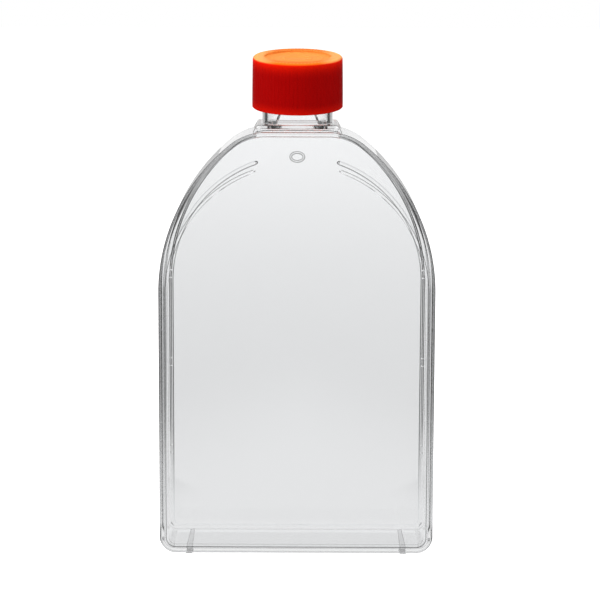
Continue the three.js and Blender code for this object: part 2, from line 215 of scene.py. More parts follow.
class FlaskCapSizes(bpy.types.PropertyGroup):
    """The screw cap and the liner in it"""

    bottom: length("Cap bottom", "Height of the skirt's lower edge up the neck", 0.0096)
    height: length("Cap height", "Height of the cap", 0.0217)
    bottom_radius: length("Bottom radius", "Radius at the skirt, over the ribs", 0.01925)
    top_radius: length("Top radius", "Radius at the top edge, over the ribs", 0.0190)
    inner_radius: length("Inner radius", "Radius of the skirt's inside", 0.0167)
    ceiling: length("Ceiling", "Height of the inside", 0.019)
    edge_round: length("Top edge", "Radius of the top edge", 0.0013)
    recess_radius: length("Recess radius", "Radius of the sunk disc in the top", 0.014)
    recess_depth: length("Recess depth", "Depth of the sunk disc", 0.001)
    ribs: count("Ribs", "Number of upright grip ribs", 72)
    rib_depth: length("Rib depth", "How far the ribs stand out", 0.00005)
    rib_start: length("Rib start", "From the skirt's lower edge to the ribs", 0.0008)
    rib_end: length("Rib end", "From the ribs to the top", 0.0006)
    ripple_outer: length("Outer ripple", "Radius of the outer low ring on the sunk disc", 0.0105)
    ripple_inner: length("Inner ripple", "Radius of the inner low ring on the sunk disc", 0.0058)
    ripple_width: length("Ripple width", "Width of the low rings", 0.0012)
    ripple_height: length("Ripple height", "Height of the low rings", 0.00018)
    soft_edge: length("Soft edges", "Radius of the cap's small edges", 0.0003)
    ceiling_edge: length("Ceiling edge", "Slope between the skirt's inside and ceiling", 0.0006)
    thread_crest: length("Thread crest", "Radius of the cap thread's crest", 0.0153)
    liner_radius: length("Liner radius", "Radius of the sealing disc", 0.016)
    liner: length("Liner", "Thickness of the sealing disc", 0.0006)
    liner_gap: length("Liner gap", "Gap between the lip and the sealing disc", 0.0003)


class FlaskLooks(bpy.types.PropertyGroup):
    """Colours and finishes"""

    clear: colour("Clear plastic", "Tint of the clear plastic's surface", (0.975, 0.98, 0.985))
    clear_shadow: colour("Clear shadow", "Light that a wall lets into the shadow", (0.8, 0.8, 0.8))
    clear_roughness: share("Clear roughness", "Roughness of the clear plastic", 0.0)
    foot_roughness: share("Foot roughness", "Extra roughness of the satin feet", 0.4)
    refraction: bpy.props.FloatProperty(
        name="Refractive index", description="Of polystyrene", default=1.59, min=1.0
    )
    # The skirt's deep red: partly the plastic's own colour, partly painted shade.
    cap_side_shaded: colour("Cap side", "Colour of the cap's skirt", (0.30, 0.0005, 0.0005))
    # Painted light on the skirt's upper third, and painted reflection at its foot.
    cap_painted_light: colour("Cap edge", "Colour just under the top edge", (0.88, 0.01, 0.0))
    cap_top: colour("Cap top", "Colour of the top", (0.78, 0.26, 0.05))
    cap_shade: colour("Cap shade", "Colour of the top's shaded front", (0.76, 0.15, 0.010))
    # Painted light on the rim at the sides of the top.
    cap_rim_painted_light: colour("Cap rim", "Colour of the top's rim at the sides", (0.78, 0.34, 0.10))
    # Painted highlights: one light dot over each rib round the rim.
    cap_rib_highlight: colour("Cap dots", "Colour of the dots round the rim", (1.0, 0.42, 0.09))
    # Painted glow: an emission colour on the cap's inside.
    cap_painted_glow: colour("Cap glow", "Light that reaches the cap's inside", (0.62, 0.09, 0.02))
    cap_roughness: share("Cap roughness", "Roughness of the cap", 0.42)
    cap_gloss: share("Cap gloss", "Specular level of the cap", 0.02)
    cap_refraction: bpy.props.FloatProperty(
        name="Cap refractive index", description="Of polyethylene", default=1.51, min=1.0
    )
    liner: colour("Liner", "Colour of the sealing disc", (0.86, 0.85, 0.80))


class FlaskStudio(bpy.types.PropertyGroup):
    """The camera, the lamps, the floor and the room round them"""

    distance: length("Camera distance", "From the camera to the flask's middle", 0.98274)
    aim_z: length("Aim height", "Height that the camera looks at", 0.1069)
    elevation: angle("Camera elevation", "How far the camera looks down", 8.905)
    roll: angle("Camera roll", "Turn of the picture", 0.2)
    side_step: length("Side step", "How far the camera stands to the right", 0.00133)
    lens: bpy.props.FloatProperty(
        name="Lens", description="In millimetres on a 36 mm sensor", default=137.1
    )
    floor: length("Floor", "Half width of the floor", 6.0)
    overhead: watts("Overhead lamp", "Power of the lamp above the flask", 9.5)
    left: watts("Left lamp", "Power of the lamp at the left", 10.0)
    right: watts("Right lamp", "Power of the lamp at the right", 3.0)
    dark: share("Dark", "Level of the room's dark parts", 0.08)
    floor_dark: share("Dark floor", "Level of the floor's dark parts", 0.1)
    white: share("White", "How much brighter the room's white walls are", 0.85)
    gap: share("Gap", "How dark the gaps look where nothing is mirrored", 0.85)
    fill: share("Fill", "Level of the light that comes from all round", 0.42)


# ------------------------------------------------------------------ outlines and meshes


def arc(x, z, radius, start, end, steps):
    """Points on an arc in the front view, both ends included."""
    turn = (end - start) / steps
    return [
        (x + radius * math.cos(start + turn * i), z + radius * math.sin(start + turn * i))
        for i in range(steps + 1)
    ]


def body_outline(body, side, end, corner):
    """The body's outline in the front view, moved in from the side walls and from the end walls."""
    half_width = body.half_width - side
    arch_radius = body.arch_radius - side
    arch_x = body.half_width - body.arch_radius
    shoulder = body.shoulder_round - side
    shoulder_z = body.shoulder_z - end - shoulder
    rise = shoulder_z - body.arch_start_z
    shoulder_x = arch_x + math.sqrt((arch_radius - shoulder) ** 2 - rise**2)
    arch_end = math.atan2(rise, shoulder_x - arch_x)
    right = arc(half_width - corner, end + corner, corner, -math.pi / 2, 0, 20)
    right += arc(arch_x, body.arch_start_z, arch_radius, 0, arch_end, 600)
    right += arc(shoulder_x, shoulder_z, shoulder, arch_end, math.pi / 2, 60)[1:]
    return right + [(-x, z) for x, z in reversed(right)]


def in_scene(name, data=None):
    """A new object in the scene, with this mesh, lamp or camera, or with an empty mesh."""
    made = bpy.data.objects.new(name, data or bpy.data.meshes.new(name))
    bpy.context.scene.collection.objects.link(made)
    return made


def new_mesh(name, points, faces):
    """An object from points and faces, its faces turned outwards."""
    mesh = bpy.data.meshes.new(name)
    mesh.from_pydata([Vector(p) for p in points], [], faces)
    cleaned = bmesh.new()
    cleaned.from_mesh(mesh)
    bmesh.ops.remove_doubles(cleaned, verts=cleaned.verts, dist=1e-8)
    bmesh.ops.recalc_face_normals(cleaned, faces=cleaned.faces)
    cleaned.to_mesh(mesh)
    cleaned.free()
    return in_scene(name, mesh)


def ring_stack(name, rings, looped=False):
    """A closed body through rings of equal numbers of points, its end rings filled or joined."""
    size = len(rings[0])
    points = [p for ring in rings for p in ring]
    faces = [] if looped else [list(range(size)), list(range(len(points) - size, len(points)))]
    for k in range(len(rings) if looped else len(rings) - 1):
        near, far = k * size, (k + 1) % len(rings) * size
        for i in range(size):
            j = (i + 1) % size
            faces.append([near + i, near + j, far + j, far + i])
    return new_mesh(name, points, faces)


def at_depth(outline, y):
    """A front view outline's points at one depth."""
    return [(x, y, z) for x, z in outline]


def body_ring(body, edge, inset, y):
    """The body's outline at one depth, moved in from an edge's (side, end, corner) sizes."""
    side, end, corner = edge
    return at_depth(body_outline(body, side + inset, end + inset, corner - inset), y)


def rounded_edge(body, radius, face, steps):
    """Rings round the body's outer edge, from the side walls to the face at this depth."""
    rings = []
    for i in range(steps + 1):
        a = math.pi / 2 * i / steps
        y = face - math.copysign(radius, face) * (1 - math.sin(a))
        outer = (0.0, 0.0, body.outer_corner)
        rings.append(body_ring(body, outer, radius * (1 - math.cos(a)), y))
    return rings


def lathe(name, profile, sides):
    """A body turned about the Z axis from (radius, height) points between two on the axis."""
    points = [(0, 0, profile[0][1]), (0, 0, profile[-1][1])]
    faces = []
    body = profile[1:-1]
    for i in range(sides):
        a = 2 * math.pi * i / sides
        points += [(r * math.cos(a), r * math.sin(a), z) for r, z in body]
    size = len(body)
    for i in range(sides):
        near = 2 + i * size
        far = 2 + (i + 1) % sides * size
        faces.append([0, near, far])
        faces.append([1, far + size - 1, near + size - 1])
        for k in range(size - 1):
            faces.append([near + k, near + k + 1, far + k + 1, far + k])
    return new_mesh(name, points, faces)


def box(name, low, high):
    """A box between its lowest and its highest corner."""
    xs, ys, zs = zip(low, high)
    corners = [(x, y, z) for x in xs for y in ys for z in zs]
    ends = [[0, 1, 3, 2], [4, 5, 7, 6]]
    sides = [[0, 1, 5, 4], [2, 3, 7, 6], [0, 2, 6, 4], [1, 3, 7, 5]]
    return new_mesh(name, corners, ends + sides)


def applied(made):
    """The same object as a plain mesh with its modifiers' result."""
    shown = bpy.context.evaluated_depsgraph_get()
    result = bpy.data.meshes.new_from_object(made.evaluated_get(shown))
    old = made.data
    made.modifiers.clear()
    made.data = result
    bpy.data.meshes.remove(old)
    return made


def combined(base, operation, *tools):
    """Joins each tool to the base, or cuts it away, and removes the tool."""
    for tool in tools:
        step = base.modifiers.new(tool.name, "BOOLEAN")
        step.operation = operation
        step.solver = "MANIFOLD"
        step.object = tool
        applied(base)
        bpy.data.objects.remove(tool)
    return base


def on_neck(made, neck, shoulder_z):
    """Moves a body from the neck's own frame, upright and 0 at the shoulder, to its place."""
    made.data.transform(Matrix.Translation((0, 0, shoulder_z)) @ Matrix.Rotation(neck.lean, 4, "X"))
    return made


def moulded(made, node, body, material):
    """Smooths a finished piece, keeps its flat faces flat, and puts it in its CAD node's place."""
    mesh = made.data
    mesh.shade_smooth()
    mesh.set_sharp_from_angle(angle=CREASE)
    weights = made.modifiers.new("flat faces", "WEIGHTED_NORMAL")
    weights.keep_sharp = True
    weights.weight = 100
    applied(made)
    made.data.materials.clear()
    made.data.materials.append(material)
    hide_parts(node)
    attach(made, body)
    return made


# ------------------------------------------------------------------ node trees


class Value:
    """A socket that holds a number, so that shader maths is written as an expression."""

    def __init__(self, sheet, socket):
        self.sheet = sheet
        self.socket = socket

    def maths(self, operation, *values):
        """A Math node's result on these values."""
        made = self.sheet.add("ShaderNodeMath", {"operation": operation}, dict(enumerate(values)))
        return Value(self.sheet, made.outputs[0])

    def of(self, operation):
        """A Math node's result on this value alone."""
        return self.maths(operation, self)

    def __add__(self, other):
        return self.maths("ADD", self, other)

    def __radd__(self, other):
        return self.maths("ADD", other, self)

    def __sub__(self, other):
        return self.maths("SUBTRACT", self, other)

    def __rsub__(self, other):
        return self.maths("SUBTRACT", other, self)

    def __mul__(self, other):
        return self.maths("MULTIPLY", self, other)

    def __rmul__(self, other):
        return self.maths("MULTIPLY", other, self)

    def __truediv__(self, other):
        return self.maths("DIVIDE", self, other)

    def __rtruediv__(self, other):
        return self.maths("DIVIDE", other, self)

    def __pow__(self, other):
        return self.maths("POWER", self, other)

    def __gt__(self, other):
        return self.maths("GREATER_THAN", self, other)

    def __lt__(self, other):
        return self.maths("LESS_THAN", self, other)

    def bigger(self, other):
        return self.maths("MAXIMUM", self, other)

    def smaller(self, other):
        return self.maths("MINIMUM", self, other)

    def size(self):
        """The number without its sign."""
        return self.of("ABSOLUTE")

    def eased(self, start, end):
        """0 before start, 1 after end, smooth between them."""
        smooth = {"interpolation_type": "SMOOTHSTEP"}
        made = self.sheet.add("ShaderNodeMapRange", smooth, {"Value": self, 1: start, 2: end})
        return Value(self.sheet, made.outputs[0])


class Sheet:
    """One node tree, built a node at a time."""

    def __init__(self, tree):
        self.tree = tree
        tree.nodes.clear()

    def add(self, kind, settings=None, values=None):
        """A node of this kind, its settings made first and then its sockets' values or links."""
        made = self.tree.nodes.new(kind)
        for name, value in (settings or {}).items():
            setattr(made, name, value)
        for name, value in (values or {}).items():
            self.feed(made.inputs[name], value)
        return made

    def feed(self, socket, value):
        """Links a value, a socket or a node to a socket, or sets a plain number or colour on it."""
        if isinstance(value, Value):
            value = value.socket
        if isinstance(value, bpy.types.NodeSocket):
            self.tree.links.new(value, socket)
        elif isinstance(value, bpy.types.Node):
            self.tree.links.new(value.outputs[0], socket)
        elif socket.type == "RGBA" and len(value) == 3:
            socket.default_value = (*value, 1.0)
        else:
            socket.default_value = value

    def value(self, node, output=0):
        """A node's output as a number for expressions."""
        return Value(self, node.outputs[output])

    def mix(self, factor, first, second):
        """A colour between two colours."""
        made = self.add("ShaderNodeMix", {"data_type": "RGBA"}, {0: factor, 6: first, 7: second})
        return made.outputs[2]

    def texture(self, kind, **values):
        """A texture node on the object's own coordinates."""
        where = self.add("ShaderNodeTexCoord")
        return self.add(kind, values={"Vector": where.outputs["Object"], **values})

    def bump(self, height, strength, distance):
        """A normal from a height."""
        values = {"Strength": strength, "Distance": distance, "Height": height}
        return self.add("ShaderNodeBump", values=values).outputs[0]

    def surface(self, shader):
        """Ends a material's tree with its shader."""
        self.add("ShaderNodeOutputMaterial", values={"Surface": shader})

    def place(self):
        """The point on the surface, in the object's own frame, as three numbers."""
        where = self.add("ShaderNodeTexCoord")
        parts = self.add("ShaderNodeSeparateXYZ", values={0: where.outputs["Object"]})
        return [self.value(parts, i) for i in range(3)]


def new_material(name):
    """A material and the empty sheet of its nodes."""
    made = bpy.data.materials.new(name)
    made.use_nodes = True
    return made, Sheet(made.node_tree)


def clear_plastic(looks):
    """Polished clear polystyrene with a large panel's faint waviness, and satin under the feet."""
    made, sheet = new_material("clear_polystyrene")
    wall_end = -0.00003
    under_wall = sheet.place()[2] < wall_end
    wave = sheet.texture("ShaderNodeTexNoise", Scale=45.0, Detail=1.0)
    shader = sheet.add(
        "ShaderNodeBsdfPrincipled",
        values={
            "Base Color": looks.clear,
            "Roughness": looks.clear_roughness + under_wall * looks.foot_roughness,
            "IOR": looks.refraction,
            "Transmission Weight": 1.0,
            "Normal": sheet.bump(wave, strength=0.012, distance=0.001),
        },
    )
    path = sheet.add("ShaderNodeLightPath")
    see_through = sheet.add("ShaderNodeBsdfTransparent", values={"Color": looks.clear_shadow})
    shadow = path.outputs["Is Shadow Ray"]
    sheet.surface(sheet.add("ShaderNodeMixShader", values={0: shadow, 1: shader, 2: see_through}))
    return made


def cap_plastic(looks, cap, neck, body):
    """Orange polyethylene with a fine moulded grain, pale on top and deep red down the skirt.
    Painted shade darkens the skirt and the top's front, painted light brightens the skirt's upper
    third and foot and the rim's sides, painted highlights sit over the ribs, and a painted glow
    lights the inside.
    """
    made, sheet = new_material("orange_polyethylene")
    x, y, z = sheet.place()
    lean_cos, lean_sin = math.cos(neck.lean), math.sin(neck.lean)
    height = (z - body.shoulder_z) * lean_cos - y * lean_sin - cap.bottom
    depth = y * lean_cos + (z - body.shoulder_z) * lean_sin
    radius = (x * x + depth * depth) ** 0.5
    above_ceiling = height > cap.ceiling + 0.0005

    # The skirt: deep red that is partly painted shade, with painted light over its upper third, and
    # a little painted reflection of the light from below at its foot.
    edge_from, foot_to = 0.66, 0.0042
    painted_light_share = ((height / cap.height - edge_from) / (1.0 - edge_from)).bigger(0.0) ** 2.5
    foot_reflection_share = (1.0 - height / foot_to).bigger(0.0) ** 1.3
    skirt = sheet.mix(painted_light_share.smaller(1.0), looks.cap_side_shaded, looks.cap_painted_light)
    skirt_painted_shading = sheet.mix(foot_reflection_share.smaller(1.0) * 0.4, skirt, looks.cap_painted_light)

    # The top: a sunk disc with painted shade at its front, and a rim with painted shade at its
    # front, painted light at its sides and a painted highlight over each rib.
    inside_rim = 1.0 - (radius > cap.recess_radius + 0.0006)
    crown = height.eased(cap.height - 0.0010, cap.height - 0.0002)
    on_top = crown.bigger(inside_rim * above_ceiling)
    # Painted shade over the front of the sunk disc.
    shaded = (0.0 - depth).eased(0.003, 0.009) * radius.eased(0.0065, 0.0085)
    sunk = sheet.mix(shaded * 0.6, looks.cap_top, looks.cap_shade)
    # Painted shade at the rim's front and painted light at its sides.
    rim_painted_shade_and_light = sheet.mix(x.size().eased(0.008, 0.016), looks.cap_shade, looks.cap_rim_painted_light)
    rim = sheet.mix(radius.eased(0.0135, 0.0150), sunk, rim_painted_shade_and_light)
    # Painted highlights: one dot over the top of each rib, round the rim's edge.
    turn = depth.maths("ARCTAN2", depth, x)
    dots = (turn * float(cap.ribs)).of("COSINE").eased(-0.2, 0.8)
    highlight_ring = radius.eased(0.0166, 0.0172) * (1.0 - radius.eased(0.0174, 0.0180))
    rim_with_highlights = sheet.mix(dots * highlight_ring * 0.8, rim, looks.cap_rib_highlight)

    # Painted glow: an emission colour on the skirt's inside stands in for light from outside coming
    # through the thin skirt.
    within = radius < cap.inner_radius + 0.0008
    glow = sheet.mix(within * (1.0 - above_ceiling), (0.0, 0.0, 0.0), looks.cap_painted_glow)
    grain = sheet.texture("ShaderNodeTexNoise", Scale=900.0, Detail=3.0)
    shader = sheet.add(
        "ShaderNodeBsdfPrincipled",
        values={
            "Base Color": sheet.mix(on_top, skirt_painted_shading, rim_with_highlights),
            "Roughness": looks.cap_roughness + (sheet.value(grain) - 0.5) * 0.12,
            "IOR": looks.cap_refraction,
            "Specular IOR Level": looks.cap_gloss,
            "Normal": sheet.bump(grain, strength=0.12, distance=0.0001),
            "Emission Color": glow,
            "Emission Strength": 1.0,
        },
    )
    sheet.surface(shader)
    return made


def liner_foam(looks):
    """White foamed polyethylene with a fine cell pattern."""
    made, sheet = new_material("liner_foam")
    cells = sheet.texture("ShaderNodeTexVoronoi", Scale=2600.0)
    depth = sheet.value(cells).eased(0.1, 0.7)
    darker = tuple(0.82 * c for c in looks.liner)
    shader = sheet.add(
        "ShaderNodeBsdfPrincipled",
        values={
            "Base Color": sheet.mix(depth * 0.35, looks.liner, darker),
            "Roughness": 0.62 + depth * 0.15,
            "Normal": sheet.bump(depth, strength=0.35, distance=0.0001),
        },
    )
    sheet.surface(shader)
    return made


# ------------------------------------------------------------------ geometry node trees


def geometry_sheet(name, inputs):
    """A geometry node tree whose inputs are the geometry and these named numbers."""
    tree = bpy.data.node_groups.new(name, "GeometryNodeTree")
    sheet = Sheet(tree)
    tree.interface.new_socket("Geometry", in_out="INPUT", socket_type="NodeSocketGeometry")
    for title, number in inputs.items():
        kind = "NodeSocketInt" if isinstance(number, int) else "NodeSocketFloat"
        socket = tree.interface.new_socket(title, in_out="INPUT", socket_type=kind)
        socket.default_value = number
    tree.interface.new_socket("Geometry", in_out="OUTPUT", socket_type="NodeSocketGeometry")
    return sheet, sheet.add("NodeGroupInput")


def closed_off(sheet, geometry, material):
    """Ends a tree with plain geometry that carries its material."""
    real = sheet.add("GeometryNodeRealizeInstances", values={0: geometry})
    painted = sheet.add("GeometryNodeSetMaterial", values={0: real, "Material": material})
    sheet.add("NodeGroupOutput", values={0: painted})


def grown(made, sheet, settings):
    """Runs a tree on an object with its inputs set, and keeps the result as a plain mesh."""
    step = made.modifiers.new(sheet.tree.name, "NODES")
    step.node_group = sheet.tree
    for item in sheet.tree.interface.items_tree:
        if item.in_out == "INPUT" and item.name in settings:
            step[item.identifier] = settings[item.name]
    applied(made)
    bpy.data.node_groups.remove(sheet.tree)
    return made


def trapezoid(sheet, bottom, top, height):
    """A ridge's or thread's section, whose lower half is sunk in what it stands on."""
    widths = {"Bottom Width": bottom, "Top Width": top, "Offset": 0.0, "Height": height}
    mode = {"mode": "TRAPEZOID"}
    return sheet.add("GeometryNodeCurvePrimitiveQuadrilateral", mode, widths)


def ridge_along_path(name, path, cyclic, width, height, slope, y, material):
    """A ridge that follows a path of the front view, half sunk in the plane at y.

    Its width is taken at that plane, and its sides slant by slope times its height.
    """
    sizes = {
        "Half width": width / 2,
        "Height": height,
        "Slope": height * slope,
        "Turn": 0.0 if y < 0 else math.pi,
        "Plane": y,
    }
    sheet, given = geometry_sheet("ridge_along_path", sizes)
    curve = sheet.add("GeometryNodeMeshToCurve", values={0: given.outputs[0]})
    upright = sheet.add("GeometryNodeSetCurveNormal", {"mode": "Z_UP"}, {0: curve})
    half, tall, slant = (sheet.value(given, title) for title in ("Half width", "Height", "Slope"))
    section = trapezoid(sheet, (half + slant) * 2.0, (half - slant) * 2.0, tall * 2.0)
    turn = sheet.add("ShaderNodeCombineXYZ", values={2: given.outputs["Turn"]})
    faced = sheet.add("GeometryNodeTransform", values={0: section, "Rotation": turn})
    swept = sheet.add("GeometryNodeCurveToMesh", values={0: upright, 1: faced, "Fill Caps": True})
    shift = sheet.add("ShaderNodeCombineXYZ", values={1: given.outputs["Plane"]})
    upended = {0: swept, "Translation": shift, "Rotation": (math.pi / 2, 0, 0)}
    stood = sheet.add("GeometryNodeTransform", values=upended)
    closed_off(sheet, stood, material)
    points = [(x, z, 0) for x, z in path]
    edges = [(i, i + 1) for i in range(len(points) - 1)]
    if cyclic:
        edges.append((len(points) - 1, 0))
    mesh = bpy.data.meshes.new(name)
    mesh.from_pydata(points, edges, [])
    return grown(in_scene(name, mesh), sheet, sizes)


def screw_thread(name, root, crest, start, neck, material):
    """One helical rib of trapezoid section whose ends run out over a quarter of a turn."""
    outward = math.copysign(math.pi / 2, crest - root)
    sizes = {
        "Root radius": root,
        "Pitch": neck.pitch,
        "Turns": neck.turns,
        "Start height": start,
        "Rib height": abs(crest - root),
    }
    sheet, given = geometry_sheet("screw_thread", sizes)
    turns = sheet.value(given, "Turns")
    rise = sheet.value(given, "Pitch") * turns
    helix = sheet.add(
        "GeometryNodeCurveSpiral",
        values={
            "Resolution": 96,
            "Rotations": turns,
            "Start Radius": given.outputs["Root radius"],
            "End Radius": given.outputs["Root radius"],
            "Height": rise,
        },
    )
    upright = sheet.add("GeometryNodeSetCurveNormal", {"mode": "Z_UP"}, {0: helix})
    along = sheet.value(sheet.add("GeometryNodeSplineParameter"), "Factor")
    tip, run_out = 0.04, 4.0
    start_fade = along * turns * run_out + tip
    end_fade = (1.0 - along) * turns * run_out + tip
    fade = start_fade.smaller(end_fade).smaller(1.0)
    tapered = sheet.add("GeometryNodeSetCurveRadius", values={0: upright, "Radius": fade})
    rib = sheet.value(given, "Rib height")
    section = trapezoid(sheet, rib * 1.7, rib * 0.75, rib * 2.0)
    turned = sheet.add("GeometryNodeTransform", values={0: section, "Rotation": (0, 0, outward)})
    swept = sheet.add("GeometryNodeCurveToMesh", values={0: tapered, 1: turned, "Fill Caps": True})
    shift = sheet.add("ShaderNodeCombineXYZ", values={2: given.outputs["Start height"]})
    raised = sheet.add("GeometryNodeTransform", values={0: swept, "Translation": shift})
    closed_off(sheet, raised, material)
    return grown(in_scene(name), sheet, sizes)


# ------------------------------------------------------------------ operators


class FLASK_OT_upper_body(bpy.types.Operator):
    """Make the moulded body: front panel, walls, shoulder, land, neck, bead, mark and feet"""

    bl_idname = "flask.upper_body"
    bl_label = "Upper body"

    def execute(self, context):
        scene = context.scene
        body, bead, neck = scene.flask_body, scene.flask_bead, scene.flask_neck
        material = clear_plastic(scene.flask_looks)
        front, weld = -body.front_y, body.back_y - body.plate - body.weld_gap
        made = self.shell(body, front, weld)
        path = bead_path(bead, body, bead.bottom_z)
        ridge = ridge_along_path(
            "front_bead", path, False, bead.width, bead.height, bead.slope, front, material
        )
        mark = self.mark(bead, front, material)
        root = neck.radius - SUNK
        thread = screw_thread(
            "neck_thread", root, neck.thread_crest, neck.thread_start, neck, material
        )
        on_neck(thread, neck, body.shoulder_z)
        combined(made, "UNION", self.land(body, neck, 0.0), self.neck_rod(body, neck))
        combined(made, "UNION", self.ramp(body, neck, neck.ramp_wall), thread)
        hollow = self.land(body, neck, neck.land_wall)
        way = self.ramp(body, neck, 0.0)
        combined(made, "DIFFERENCE", hollow, self.bore(body, neck), way)
        dots = [end_dot(bead, body, bead.front_dot, front, side) for side in (1, -1)]
        feet = [self.foot(body, weld, side) for side in (1, -1)]
        combined(made, "UNION", ridge, mark, *dots, *feet)
        moulded(made, "upper_body", "flask", material)
        return {"FINISHED"}

    def shell(self, body, front, weld):
        """The body, open at the weld: rings from the cavity's front out and back to the front."""
        rings = []
        steps = 8
        cavity = body.side_wall, body.end_wall, body.inner_corner
        for i in range(steps + 1):
            a = math.pi / 2 * i / steps
            inset = body.draft + body.cavity_round * (1 - math.sin(a))
            y = front + body.panel + body.cavity_round * (1 - math.cos(a))
            rings.append(body_ring(body, cavity, inset, y))
        chamfer_depth = body.weld_chamfer * 1.2
        rings.append(body_ring(body, cavity, 0.0, weld - chamfer_depth))
        rings.append(body_ring(body, cavity, -body.weld_chamfer, weld))
        rings.append(body_ring(body, (0.0, 0.0, body.outer_corner), 0.0, weld))
        return ring_stack("flask_body", rings + rounded_edge(body, body.front_round, front, steps))

    def mark(self, bead, front, material):
        """The low oval ring near the top of the front panel."""
        line = bead.mark_line
        wide, tall = bead.mark_width - line / 2, bead.mark_height - line / 2
        ring = arc(0, 0, 1, 0, 2 * math.pi * 47 / 48, 47)
        path = [(x * wide, bead.mark_z + z * tall) for x, z in ring]
        return ridge_along_path(
            "moulding_mark", path, True, line, bead.mark_relief, 1.0, front, material
        )

    def land(self, body, neck, wall):
        """The land between the shoulder and the neck, or the hollow one wall inside it."""
        rings = []
        end = 0.0 if wall else neck.land_end
        # The land is sunk in the shoulder's wall, and its hollow goes through to the cavity.
        low = -3.0 * body.end_wall if wall else -0.6 * body.end_wall
        side_low = low - 0.35 * body.end_wall
        slant_ends = 0.4
        turns = [math.pi / 6 * i for i in range(4)] if end else [math.pi / 2]
        for side, a in [(-1, a) for a in turns] + [(1, a) for a in reversed(turns)]:
            inset = wall + end * (1 - math.sin(a))
            y = side * (neck.land_depth - wall - end * (1 - math.cos(a)))
            wide, edge = neck.land_width - inset, neck.land_edge - 0.3 * wall
            top = neck.land_height - inset
            right = [(neck.land_flat, low), (wide, side_low), (wide, 0.0)]
            edge_x = wide - neck.land_slant - edge
            right += arc(edge_x, top - edge, edge, slant_ends, math.pi / 2, 14)
            outline = right + [(-x, z) for x, z in reversed(right)]
            rings.append(at_depth([(x, body.shoulder_z + z) for x, z in outline], y))
        return ring_stack("land", rings)

    def ramp(self, body, neck, wall):
        """The ramp from the growth plate up into the neck, or with no wall the way over it."""
        rings = []
        low = -0.5 * body.end_wall if wall else -3.0 * body.end_wall
        top = neck.ramp_top if wall else neck.ramp_top - neck.ramp_roof
        side_wall = wall * 0.8
        for z in (low, neck.ramp_bend, top):
            run_in = max(z - neck.ramp_bend, 0.0) * neck.ramp_taper
            wide = neck.ramp_wide - run_in + side_wall
            narrow = wide - neck.ramp_draft
            back = neck.ramp_back - z * neck.ramp_slope + wall
            front = neck.ramp_front
            corners = ((-wide, front), (wide, front), (narrow, back), (-narrow, back))
            rings.append([(x, y, body.shoulder_z + z) for x, y in corners])
        return ring_stack("ramp", rings)

    def neck_rod(self, body, neck):
        """The neck as a solid rod with a rounded lip."""
        lip = neck.lip_round
        edge = arc(neck.radius - lip, neck.height - lip, lip, 0, math.pi / 2, 6)
        low = neck.land_height * 0.5
        rod = lathe("neck", [(0, low), (neck.radius, low), *edge, (0, neck.height)], 160)
        return on_neck(rod, neck, body.shoulder_z)

    def bore(self, body, neck):
        """The rod that opens the neck, from the cavity to above the lip."""
        past_lip = 0.002
        low, top = -3 * body.end_wall, neck.height + past_lip
        rod = lathe("bore", [(0, low), (neck.bore, low), (neck.bore, top), (0, top)], 200)
        return on_neck(rod, neck, body.shoulder_z)

    def foot(self, body, weld, side):
        """One low tapering runner under the end wall, its edges sloped."""
        front, back = body.foot_inset - body.front_y, weld - body.foot_end
        tall = body.foot_height
        points = []
        for z, slope in ((tall, 0.0), (-tall * 0.5, 0.0), (-tall, body.foot_slope)):
            for y, width in ((front + slope, body.foot_front), (back - slope, body.foot_back)):
                for edge in (-1, 1):
                    points.append((side * body.foot_x + edge * (width / 2 - slope), y, z))
        faces = [[0, 1, 3, 2], [8, 9, 11, 10]]
        for k in (0, 4):
            around = ((0, 1), (1, 3), (3, 2), (2, 0))
            faces += [[k + a, k + b, k + b + 4, k + a + 4] for a, b in around]
        return new_mesh("foot", points, faces)


def bead_path(bead, body, bottom):
    """The U of a stacking bead, from one end to the other."""
    corner_x, corner_z = bead.radius - bead.corner, bottom + bead.corner
    right = arc(corner_x, corner_z, bead.corner, -math.pi / 2, 0, 10)
    end = bead.end - bead.short / bead.radius
    right += arc(0, body.arch_start_z, bead.radius, 0, end, 150)
    return [(-x, z) for x, z in reversed(right)] + right


def at_bead_end(made, bead, body, y, side):
    """Turns a lathe shape to face out of the panel at y, at one end of a stacking bead."""
    x = side * bead.radius * math.cos(bead.end)
    z = body.arch_start_z + bead.radius * math.sin(bead.end)
    outward = math.copysign(math.pi / 2, y)
    made.data.transform(Matrix.Translation((x, y, z)) @ Matrix.Rotation(-outward, 4, "X"))
    return made


def end_dot(bead, body, radius, y, side):
    """A blunt 45 degree cone at one end of a stacking bead, its foot sunk in the panel."""
    tall = bead.height
    profile = [(0, -tall), (radius, -tall), (radius, 0), (radius - tall, tall), (0, tall)]
    return at_bead_end(lathe("end_dot", profile, 32), bead, body, y, side)


def end_pit(bead, body, radius, y, side):
    """The 45 degree pit in the flat top of an end dot."""
    tall = bead.height
    deep = radius - tall
    profile = [(0, tall - deep), (2 * deep, tall + deep), (0, tall + deep)]
    return at_bead_end(lathe("end_pit", profile, 32), bead, body, y, side)


